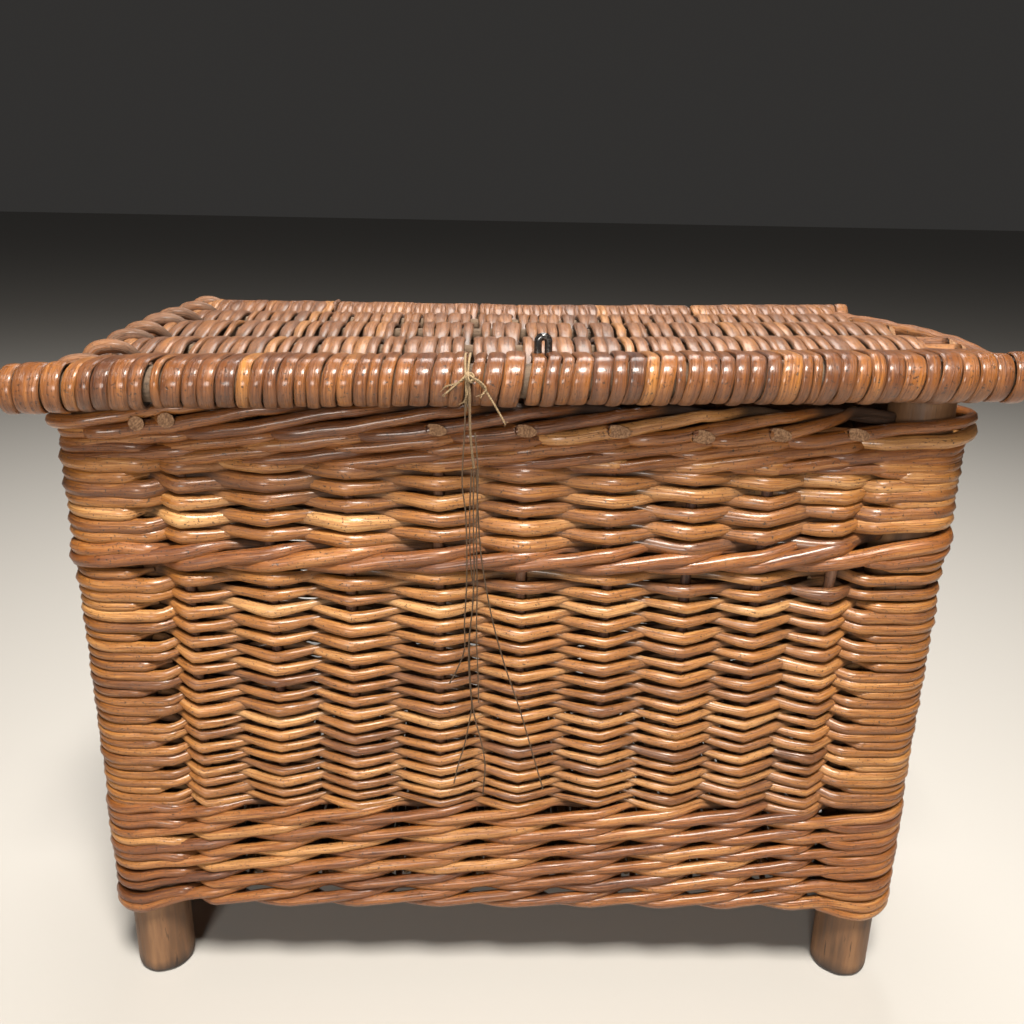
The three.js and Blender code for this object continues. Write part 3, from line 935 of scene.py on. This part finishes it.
def border_rod(bundle, rng, first, low, high):
    """One rod of the border: it starts low outside, climbs past two uprights, and goes over the
    top to the inside. Beside a corner post it crosses before the post."""
    crossing = 1.45 if (first + 3) % ROUND in POST_PLACES else 2.05
    u = gap_samples(first + 0.02, first + crossing + 1.7)
    t = u - first
    thick = 4.7 * rng.uniform(0.95, 1.05)
    radius = np.interp(t, (0, 1, crossing + 0.4, crossing + 1.7), (thick, thick, 3.3, 2.8))
    height = np.interp(t, (0, 0.5, 1, 2, crossing + 0.5, crossing + 0.8, crossing + 1.7),
                       (low - 1.0, low + 1.4, low + 5.2, high - 4.6, high - 3.2, high - 4.0, high - 12))
    depth = 0.45 * (1 - smoothstep(0, 0.36, t)) + smoothstep(crossing, crossing + 0.85, t)
    turning = 1 - smoothstep(0.1, 0.6, from_post(u))
    line = settle_wall(on_wall(u, depth, height, (2.0 + 4.0 * turning) * (1 - depth)))
    line[:, 2] += wobble(line, rng, 0.4)
    # Painted shade: the rod darkens where it turns over to the inside.
    bundle.sweep(line, radius, UP, some_tone(rng, 0.35, 0.80), 0.8 * smoothstep(0.1, 0.8, depth),
                 rng.random(), sides=10)


def cut_stub(bundle, rng, upright, height, radius, length=0.36, proud=7.4, slant=2.8):
    """A rod's cut end that comes out between the wale and the border."""
    u = np.linspace(upright - length, upright, 9)
    t = np.linspace(0, 1, 9)
    line = on_wall(u, 0.75 * (1 - t) ** 0.8, height - 2.2 * (1 - t), proud * t)
    towards = unit(OUTER.at(upright + 0.02) - OUTER.at(upright - 0.02))
    outward = np.array([towards[1], -towards[0], 0.25])
    # Painted shade: the stub darkens where it comes out of the wall.
    bundle.sweep(settle_wall(line), radius * np.interp(t, (0, 1), (0.8, 1.0)), UP,
                 some_tone(rng), np.interp(t, (0, 1), (0.6, 0.1)), rng.random(), sides=10,
                 cut=slant, facing=unit(outward))


def weave_border():
    rng = np.random.default_rng(77)
    low, high = corners("border")
    bundle = Bundle()
    for first in range(ROUND):
        border_rod(bundle, rng, first, low[2], high[2])
    bundle.piece("border_rods", "basket", "border_willow", (border_willow, end_wood), "border")
    stubs = Bundle()
    level = low[2] + 6.0
    for upright in range(ROUND):
        if upright not in POST_PLACES and upright not in (1, 2, 3):
            cut_stub(stubs, rng, upright + rng.normal(scale=0.04), level + rng.normal(scale=0.6),
                     rng.uniform(3.6, 4.3))
    for place, rise, size in ((0.72, 1.0, 4.4), (0.98, 3.2, 4.6), (ROUND - 0.2, 0.0, 4.2)):
        cut_stub(stubs, rng, place, level + rise, size, length=0.2, proud=7.6, slant=0.9)
    stubs.piece("border_cut_ends", "basket", "border_willow", (border_willow, pale_end_wood))


weave_rand("lower_rand", foot=151, top=328, count=18, pitches=(8.2, 11.0), radius=0.365, rise=5.6,
           waist=0.70, seed=11)
weave_rand("upper_rand", foot=346, top=404, count=5, pitches=(11.0, 11.0), radius=0.43, rise=2.6,
           waist=0.80, seed=12)
weave_wale("bottom_wale", rounds=6, foot=67.5, pitch=13.5, rise=15, radius=3.7, seed=13, proud=0.8, dip=8)
weave_wale("middle_wale", rounds=1, foot=325.5, pitch=13.5, rise=15, radius=4.7, seed=14, proud=1.6,
           climb=2.5)
weave_wale("top_wale", rounds=2, foot=392.5, pitch=8.6, rise=13, radius=4.2, seed=15, proud=0.2)
weave_border()


# ---------------------------------------------------------------- uprights


def make_stakes():
    """Smooth stakes, a little crooked, which show between the rods."""
    for side in ("front", "back", "left", "right"):
        rng = np.random.default_rng(200 + ord(side[0]))
        nodes = [node for node in UPRIGHTS if node.startswith(f"stake_{side}")]
        bundle = Bundle()
        for node in nodes:
            low, high = corners(node)
            line = line_of(*middle(node)[:2], np.linspace(low[2], high[2] + 4, 70))
            line[:, 0] += wobble(line, rng, 0.5)
            radius = rod_radius(line, rng, half_size(node)[0] + 0.35, 0.06)
            bundle.sweep(line, radius, ALONG_X, rng.uniform(0.2, 0.8), 0.12, rng.random(), sides=10)
        bundle.piece(f"stakes_{side}", "basket", "stake_willow", (stake_willow, end_wood), *nodes)


def make_post(node, top_drop):
    """A corner post: a straight pole, slightly uneven, with worn edges at both ends."""
    rng = np.random.default_rng(300 + len(node) + int(top_drop))
    centre = middle(node)
    height = corners(node)[1][2] - top_drop
    levels = np.concatenate([[0, 0.4, 1.2, 2.6, 4.5], np.linspace(8, height - 6, 60),
                             [height - 3, height - 1.4, height - 0.4, height]])
    edge = np.minimum(levels, height - levels)
    rounding = 3.0 * (1 - np.clip(edge / 4.0, 0, 1)) ** 2
    turn = np.linspace(0, FULL_TURN, 48, endpoint=False)
    waves = sum(rng.uniform(0.1, 0.3) * np.sin(k * turn + rng.uniform(0, FULL_TURN))
                for k in (2, 3, 5, 9))
    bend = np.sin(levels / 70 + rng.uniform(0, 6)) * 0.5
    reach = (half_size(node)[0] - 0.4 - rounding)[:, None] + waves * 0.7
    places = np.stack([centre[0] + bend[:, None] * 0.4 + reach * np.cos(turn),
                       centre[1] + reach * np.sin(turn),
                       np.broadcast_to(levels[:, None], reach.shape)], -1)
    bundle = Bundle()
    bundle.skin(places, levels * MM, 0.5, 0.0, rng.random())
    bundle.piece(f"{node}_pole", "basket", "post_wood", (post_material, post_material), node)


make_stakes()
for node, drop in zip(POSTS, (4.6, 0, 0, 0)):
    make_post(node, drop)


# ---------------------------------------------------------------- base


def weave_base():
    """Rods woven front to back over and under the base's sticks."""
    rng = np.random.default_rng(31)
    low, high = corners("base_weave")
    sticks = [f"base_stick_{i}" for i in range(1, 5)]
    places = [middle(node) for node in sticks]
    level = places[0][2]
    bundle = Bundle()
    pitch = 5.4
    count = int((high[0] - low[0] - 8) / pitch)
    for index in range(count):
        x = low[0] + 6 + pitch * index
        corner = abs(x) > middle(POSTS[1])[0] - POST_RADIUS - 7
        inset = 30 if corner else 4
        y = np.linspace(low[1] + inset, high[1] - inset, 46)
        knots = [low[1] + 4, *(p[1] for p in places), high[1] - 4]
        side = [(-1) ** (k + index) * 4.2 for k in range(len(knots))]
        z = level + np.interp(y, knots, side)
        line = line_of(x, y, smooth(z, 5))
        line[:, 0] += wobble(line, rng, 0.5)
        bundle.sweep(line, rod_radius(line, rng, 2.75), ALONG_X, some_tone(rng), 0.2, rng.random())
    bundle.piece("base_rods", "basket", "base_willow", (base_willow, end_wood), "base_weave")
    stick_bundle = Bundle()
    for node in sticks:
        start, stop = corners(node)
        line = line_of(np.linspace(start[0], stop[0], 60), *middle(node)[1:])
        line[:, 1] += wobble(line, rng, 0.5)
        stick_bundle.sweep(line, 4.0, UP, rng.uniform(0.3, 0.8), 0.1, rng.random(), sides=12)
    stick_bundle.piece("base_sticks", "basket", "stick_wood", (stick_wood, end_wood), *sticks)


weave_base()


# ---------------------------------------------------------------- lid

FRONT_STICK = middle("lid_front_stick")
BACK_STICK = middle("lid_back_stick")
LID_STICKS = [middle(f"lid_stick_{i}") for i in range(1, 4)]
LID_ROWS = [FRONT_STICK[1], *(stick[1] for stick in LID_STICKS), BACK_STICK[1]]
LID_LEVEL = BACK_STICK[2]
FRONT_ROLL = 15.0
BACK_ROLL = 13.0
STRIP_HALF = 2.1
ROLL_HALF = 1.5
STICK_RADIUS = 5.0
STRIP_PITCH = 8.7
ROLL_SHADE = 0.07
LOOPS = [middle("hinge_loop_left")[0], middle("hinge_loop_right")[0]]
LID_LEFT, LID_RIGHT = corners("lid_weave")[0][0], corners("lid_weave")[1][0]
# Where the strips that cross the lid begin and end, and the gaps among them
CROSSING_LEFT = LID_LEFT + 36
CROSSING_RIGHT = LID_RIGHT - 22
LID_GAPS = ((-209, -205.6), (-29.6, -26.4), (3.0, 5.8))
# Where the left and right thirds of the weave meet the middle one
LID_THIRD = 97


def settle_lid(points):
    """The lid's old twist: its front edge hangs at the left and stands up at the right. Its
    middle is a little crowned, and its right back corner is lifted."""
    points = np.array(points, float)
    x, y = points[:, 0], points[:, 1]
    forward = np.clip((BACK_STICK[1] - y) / (BACK_STICK[1] - FRONT_STICK[1]), 0, 1.05)
    points[:, 2] += forward * np.interp(x, (-300, -215, 300), (-9.0, -4.0, 8.2))
    points[:, 2] += (1 - forward) * np.interp(x, (40, 290), (0, 5.0))
    points[:, 2] += 3.0 * np.sin(math.pi * np.clip(forward, 0, 1))
    return points


def row_turns(y):
    """How many sticks a place is behind the front one."""
    return np.interp(y, LID_ROWS, np.arange(len(LID_ROWS)))


def stick_wave(y, amount):
    """Height of a strip across the inner sticks: over one and under the next."""
    wave = np.cos(math.pi * (row_turns(y) - 1))
    return amount * np.sign(wave) * np.abs(wave) ** 0.95


def strip_line(x_top, x_low, front_radius, back_radius, amount):
    """A lid strip from below the back roll, forward over the sticks, round the front roll, and
    back again under and over the sticks to the top of the back roll. Gives its points, and where
    among them the turn round the front roll begins and how many it has."""
    front_y, back_y = FRONT_STICK[1], BACK_STICK[1]
    y = np.linspace(front_y, back_y, 70)
    ahead = smoothstep(0, 1, (LID_STICKS[0][1] - y) / (LID_STICKS[0][1] - front_y))
    behind = smoothstep(0, 1, (y - LID_STICKS[2][1]) / (back_y - LID_STICKS[2][1]))
    over = stick_wave(y, amount) * (1 - ahead) * (1 - behind)
    front_rise, back_rise = front_radius * ahead ** 1.4, back_radius * behind ** 1.4
    back = np.linspace(-math.pi / 2 - 1.3, math.pi / 2, 22)[1:-1]
    front = np.linspace(math.pi / 2, 1.5 * math.pi, 22)[1:-1]
    line = np.concatenate([
        line_of(np.linspace(x_low, x_top, len(back)), back_y + back_radius * np.cos(back),
                back_radius * np.sin(back)),
        line_of(x_top, y, front_rise + back_rise - over)[::-1],
        line_of(np.linspace(x_top, x_low, len(front)), front_y + front_radius * np.cos(front),
                front_radius * np.sin(front)),
        line_of(x_low, y, over - front_rise + back_rise)])
    return line + (0, 0, LID_LEVEL), len(back) + len(y), len(front)


def strip_places(rng, start, stop, mean):
    """Uneven strip widths that fill a stretch of the lid, as (middle, width) pairs."""
    widths = []
    while sum(widths) < stop - start - mean / 2:
        widths.append(mean * float(np.clip(rng.normal(1.0, 0.2), 0.6, 1.5)))
    widths = np.array(widths) * (stop - start) / sum(widths)
    edges = start + np.concatenate([[0], np.cumsum(widths)])
    return list(zip((edges[1:] + edges[:-1]) / 2, widths))


def clear_loops(line, width):
    """Moves a strip aside where a hinge loop comes through the back roll."""
    near_roll = smoothstep(BACK_STICK[1] - 42, BACK_STICK[1] - 16, line[:, 1])
    for loop in LOOPS:
        gap = line[0, 0] - loop
        room = width / 2 + 2.6
        if abs(gap) < room:
            line[:, 0] += math.copysign(room - abs(gap), gap) * near_roll
    return line


def add_strip(bundle, rng, x, width):
    front_radius = FRONT_ROLL - ROLL_HALF - 0.4 + rng.uniform(-0.8, 0.5)
    back_radius = BACK_ROLL - STRIP_HALF - 0.4 + rng.uniform(-0.5, 0.4)
    shift = min(width, 9.5) * 0.25
    line, turn_start, turn_count = strip_line(x + shift, x - shift, front_radius, back_radius,
                                              STICK_RADIUS + STRIP_HALF)
    turns = row_turns(line[:, 1])
    crossing = np.abs(np.cos(math.pi * turns))
    band_width = np.interp(turns, np.arange(5), [0.95, *rng.uniform(0.80, 0.98, 3), 0.90])
    half = width / 2 * band_width * (0.76 + 0.24 * smoothstep(0.0, 0.8, crossing))
    wrap = slice(turn_start - 8, turn_start + turn_count + 6)
    half[wrap] = np.maximum(half[wrap], width / 2 * rng.uniform(0.91, 0.98))
    half += wobble(line, rng, 0.2)
    lean_over = rng.normal(scale=0.8) * np.sin(math.pi * turns / 4)
    line[:, 0] += wobble(line, rng, 0.45) + lean_over
    line = clear_loops(line, width)
    on_roll = np.zeros(len(turns), bool)
    on_roll[wrap] = True
    top = line[:, 2] - LID_LEVEL
    # Painted shade: strips darken below the lid's level, where they pass under the sticks and round the
    # underside, and on the lower part of the front roll.
    dust_and_shade = np.interp(top, (-7, -3, 0, 6), (0.46, 0.80, 0.72, 0.24))
    dust_and_shade = smooth(np.where(on_roll, 0.03 + 0.55 * (1 - smoothstep(-13, -1, top)), dust_and_shade), 7)
    thick = smooth(np.where(on_roll, ROLL_HALF, STRIP_HALF), 9)
    tone = some_tone(rng, 0.46, 0.60) - ROLL_SHADE * smoothstep(0.45, 0.0, turns)
    bundle.sweep(settle_lid(line), half, ALONG_X, tone, dust_and_shade, rng.random(),
                 flat=thick / half, sides=14, square=0.75)


def add_wrap(bundle, rng, x, width, stick, roll_radius, dust_and_shade):
    """A strip wound once round a roll beyond the strips that cross the lid."""
    angle = np.linspace(-0.6 * math.pi, 1.45 * math.pi, 40)
    radius = roll_radius - ROLL_HALF - 0.4 + rng.uniform(-0.6, 0.5)
    aside = np.linspace(0.22, -0.22, 40) * width
    aside += wobble(line_of(8 * angle, 8 * angle, 8 * angle), rng, 0.2)
    line = line_of(x + aside, stick[1] - radius * np.sin(angle), LID_LEVEL + radius * np.cos(angle))
    bundle.sweep(settle_lid(line), width / 2 * rng.uniform(0.90, 0.97), ALONG_X,
                 some_tone(rng, 0.46, 0.60) - ROLL_SHADE, dust_and_shade, rng.random(),
                 flat=2 * ROLL_HALF / width, sides=14, square=0.75)


def add_edge_loop(bundle, rng, y):
    """A thick rod that comes up round the lid's left edge and turns in over the weave."""
    edge = CROSSING_LEFT + rng.uniform(-1.5, 1.5)
    reach, slope = rng.uniform(0.85, 1.1), rng.uniform(0.7, 1.3)
    route = np.array([(8, -4, -6), (-4, -4, -8), (-11, -3, -4), (-14, -1, 3), (-10, 1, 9),
                      (-1, 3, 10.5), (8, 5, 8.5), (17, 8, 1)])
    line = curve_through(route * (reach, slope, 1) + (edge, y, LID_LEVEL), 2.5)
    shares = np.linspace(0, 1, len(line))
    size = rng.uniform(4.2, 5.4) * np.interp(shares, (0, 0.15, 0.7, 1), (0.75, 1.0, 1.0, 0.65))
    # Painted shade: each loop darkens at both ends, where it tucks into the weave.
    dust_and_shade = np.interp(shares, (0, 0.3, 0.7, 1), (0.7, 0.42, 0.40, 0.8))
    bundle.sweep(settle_lid(line), size, UP, rng.uniform(0.28, 0.46), dust_and_shade, rng.random(),
                 flat=rng.uniform(0.95, 1.25), sides=12)


def make_lid_weave():
    rng = np.random.default_rng(51)
    bundles = {"left": Bundle(), "middle": Bundle(), "right": Bundle()}
    edges = [CROSSING_LEFT, *(edge for gap in LID_GAPS for edge in gap), CROSSING_RIGHT]
    for start, stop in zip(edges[::2], edges[1::2]):
        for x, width in strip_places(rng, start, stop, STRIP_PITCH):
            name = "left" if x < -LID_THIRD else "middle" if x < LID_THIRD else "right"
            add_strip(bundles[name], rng, x, width)
    for name, stick, roll, start, stop, mean, dust_and_shade in (
            ("left", FRONT_STICK, FRONT_ROLL, LID_LEFT, CROSSING_LEFT, 12.0, 0.08),
            ("left", BACK_STICK, BACK_ROLL, CROSSING_LEFT - 14, CROSSING_LEFT, 9.0, 0.3),
            ("right", FRONT_STICK, FRONT_ROLL, CROSSING_RIGHT, LID_RIGHT, 9.5, 0.08),
            ("right", BACK_STICK, BACK_ROLL, CROSSING_RIGHT, CROSSING_RIGHT + 18, 9.0, 0.3)):
        for x, width in strip_places(rng, start, stop, mean):
            add_wrap(bundles[name], rng, x, width, stick, roll, dust_and_shade)
    for name, bundle in bundles.items():
        bundle.piece(f"lid_strips_{name}", "lid", "lid_willow", (lid_willow, end_wood), "lid_weave")
    edge = Bundle()
    for y in np.linspace(FRONT_STICK[1] + 20, BACK_STICK[1] - 12, 8):
        add_edge_loop(edge, rng, y + rng.uniform(-5, 5))
    edge.piece("lid_edge_loops", "lid", "lid_rod_willow", (lid_rod_willow, end_wood), "lid_weave")


def make_lid_sticks():
    """Round sticks that show, dusty, between the strips. Each one's right end is cut."""
    rng = np.random.default_rng(52)
    rolled = {"lid_front_stick": (FRONT_ROLL, LID_LEFT + 3, LID_RIGHT - 3),
              "lid_back_stick": (BACK_ROLL, CROSSING_LEFT - 13, CROSSING_RIGHT + 17)}
    plain = {f"lid_stick_{i}": (None, CROSSING_LEFT - 6, CROSSING_RIGHT + 9) for i in range(1, 4)}
    for node, (roll, start, stop) in {**rolled, **plain}.items():
        radius = roll - 2 * STRIP_HALF - 0.6 if roll else STICK_RADIUS - 0.2
        line = line_of(np.linspace(start, stop, 90), middle(node)[1], LID_LEVEL)
        line[:, 1] += wobble(line, rng, 0.4)
        bundle = Bundle()
        bundle.sweep(settle_lid(line), rod_radius(line, rng, radius, 0.03), UP, rng.uniform(0.3, 0.7),
                     0.15, rng.random(), sides=16)
        bundle.piece(f"{node}_bare", "lid", "stick_wood", (stick_wood, end_wood), node)


def make_end_rods():
    """The rod along each end of the lid: hidden in the left edge's loops, and bare and bowed at
    the right, where the cut ends of the sticks' helpers show beside it."""
    rng = np.random.default_rng(53)
    front, back = FRONT_STICK[1], BACK_STICK[1]
    radius = half_size("lid_end_rod_right")[2]
    out = corners("lid_end_rod_right")[1][0] - radius
    routes = {
        "left": ((CROSSING_LEFT - 6, front + 6, 0), (CROSSING_LEFT - 9, front + 90, 0),
                 (CROSSING_LEFT - 9, back - 80, 0), (CROSSING_LEFT - 5, back - 4, 0)),
        "right": ((LID_RIGHT - 4, front + 6, -2), (out - 1, front + 50, 1), (out, front + 110, 2),
                  (out - 7, front + 180, 2), (out - 20, back - 45, 2), (CROSSING_RIGHT + 8, back - 3, 1))}
    for side, route in routes.items():
        line = curve_through(np.array(route) + (0, 0, LID_LEVEL), 4.0)
        line[:, 2] += wobble(line, rng, 0.5)
        bundle = Bundle()
        bundle.sweep(settle_lid(line), rod_radius(line, rng, radius, 0.08), UP, 0.55, 0.12,
                     rng.random(), sides=14)
        if side == "right":
            add_helpers(bundle, rng, out)
        bundle.piece(f"lid_end_rod_{side}_bare", "lid", "lid_rod_willow",
                     (lid_rod_willow, pale_end_wood), f"lid_end_rod_{side}")


def add_helpers(bundle, rng, out):
    """Rods beside the inner sticks, cut off short of the bowed end rod."""
    ends = ((0, -18, 2.5, -7), (0, -7, 5.0, -11), (0, 3, 4.0, -15), (1, 4, 2.0, -16), (2, -3, 2.0, -22))
    for stick, aside, lift, short in ends:
        y = LID_STICKS[stick][1] + aside
        line = line_of(np.linspace(CROSSING_RIGHT - 6, out + short, 12), np.linspace(y, y - 3, 12),
                       LID_LEVEL + lift)
        bundle.sweep(settle_lid(line), rng.uniform(4.0, 4.8), UP, some_tone(rng), 0.2, rng.random(),
                     sides=12, cut=1.6, facing=(0.0, -0.75, 0.65))


def make_staple():
    """The black staple behind the front roll: a short arch of thick glossy wire."""
    low, high = corners("lid_staple")
    x, y, _ = middle("lid_staple")
    radius = half_size("lid_staple")[1] + 0.7
    half = half_size("lid_staple")[0] - radius
    bend = high[2] - radius - half
    angle = np.linspace(math.pi, 0, 19)
    legs = np.linspace(low[2], bend, 8)[:-1]
    line = np.concatenate([
        line_of(x - half, y, legs),
        line_of(x + half * np.cos(angle), y, bend + half * np.sin(angle)),
        line_of(x + half, y, legs[::-1])])
    bundle = Bundle()
    bundle.sweep(settle_lid(line), radius, np.array([0.0, 1.0, 0.0]), 0.5, sides=16)
    bundle.piece("lid_staple_wire", "lid", "black_wire", (wire_material, wire_material), "lid_staple")


def make_hinge_loops():
    """Willow loops round the lid's back stick and the top of the back wall."""
    rng = np.random.default_rng(54)
    for node in ("hinge_loop_left", "hinge_loop_right"):
        radius = half_size(node)[0]
        _, half_y, half_z = half_size(node) - radius
        bend = 5.0
        turn = (np.arange(4)[:, None] * math.pi / 2 + np.linspace(0, math.pi / 2, 9)).ravel()
        y = np.repeat((1, -1, -1, 1), 9) * (half_y - bend) + bend * np.cos(turn)
        z = np.repeat((1, 1, -1, -1), 9) * (half_z - bend) + bend * np.sin(turn)
        outline = middle(node) + line_of(0, y, z - 2.5 * smoothstep(0, half_z, z))
        line = curve_through([*outline, outline[0]], 2.5)
        line[:, 0] += 0.25 * np.sin(np.linspace(0, 9, len(line)))
        bundle = Bundle()
        bundle.sweep(line, radius - 0.25, ALONG_X, rng.uniform(0.35, 0.5), 0.35, rng.random(), sides=10)
        bundle.piece(f"{node}_rod", "basket", "border_willow", (lid_willow, end_wood), node)


make_lid_weave()
make_lid_sticks()
make_end_rods()
make_staple()
make_hinge_loops()


# ---------------------------------------------------------------- stage


def add_light(name, place, target, size, power, colour):
    data = bpy.data.lights.new(name, "AREA")
    data.size = size
    data.energy = power
    data.color = colour
    light = add_object(name, data)
    light.location = place
    light.rotation_euler = (Vector(target) - Vector(place)).to_track_quat("-Z", "Y").to_euler()


def make_stage():
    mesh = bpy.data.meshes.new("floor")
    reach = 20.0
    mesh.from_pydata([(-reach, -reach, 0), (reach, -reach, 0), (reach, reach, 0), (-reach, reach, 0)],
                     [], [(0, 1, 2, 3)])
    mesh.materials.append(pale_ground())
    add_object("floor", mesh)
    world = bpy.data.worlds.new("studio")
    world.use_nodes = True
    world.node_tree.nodes["Background"].inputs[0].default_value = (0.90, 0.86, 0.82, 1)
    world.node_tree.nodes["Background"].inputs[1].default_value = 0.035
    bpy.context.scene.world = world
    add_light("key", (0.1, -1.0, 1.95), (0, 0, 0.30), 0.45, 86, (1.0, 0.94, 0.86))
    add_light("front", (-0.5, -2.2, 0.75), (0, 0, 0.25), 0.5, 28, (1.0, 0.95, 0.88))
    add_light("top", (0.1, 1.0, 1.8), (0, 0, 0.3), 0.9, 27, (1.0, 0.97, 0.93))
    bpy.context.scene.view_settings.view_transform = "Standard"


make_stage()
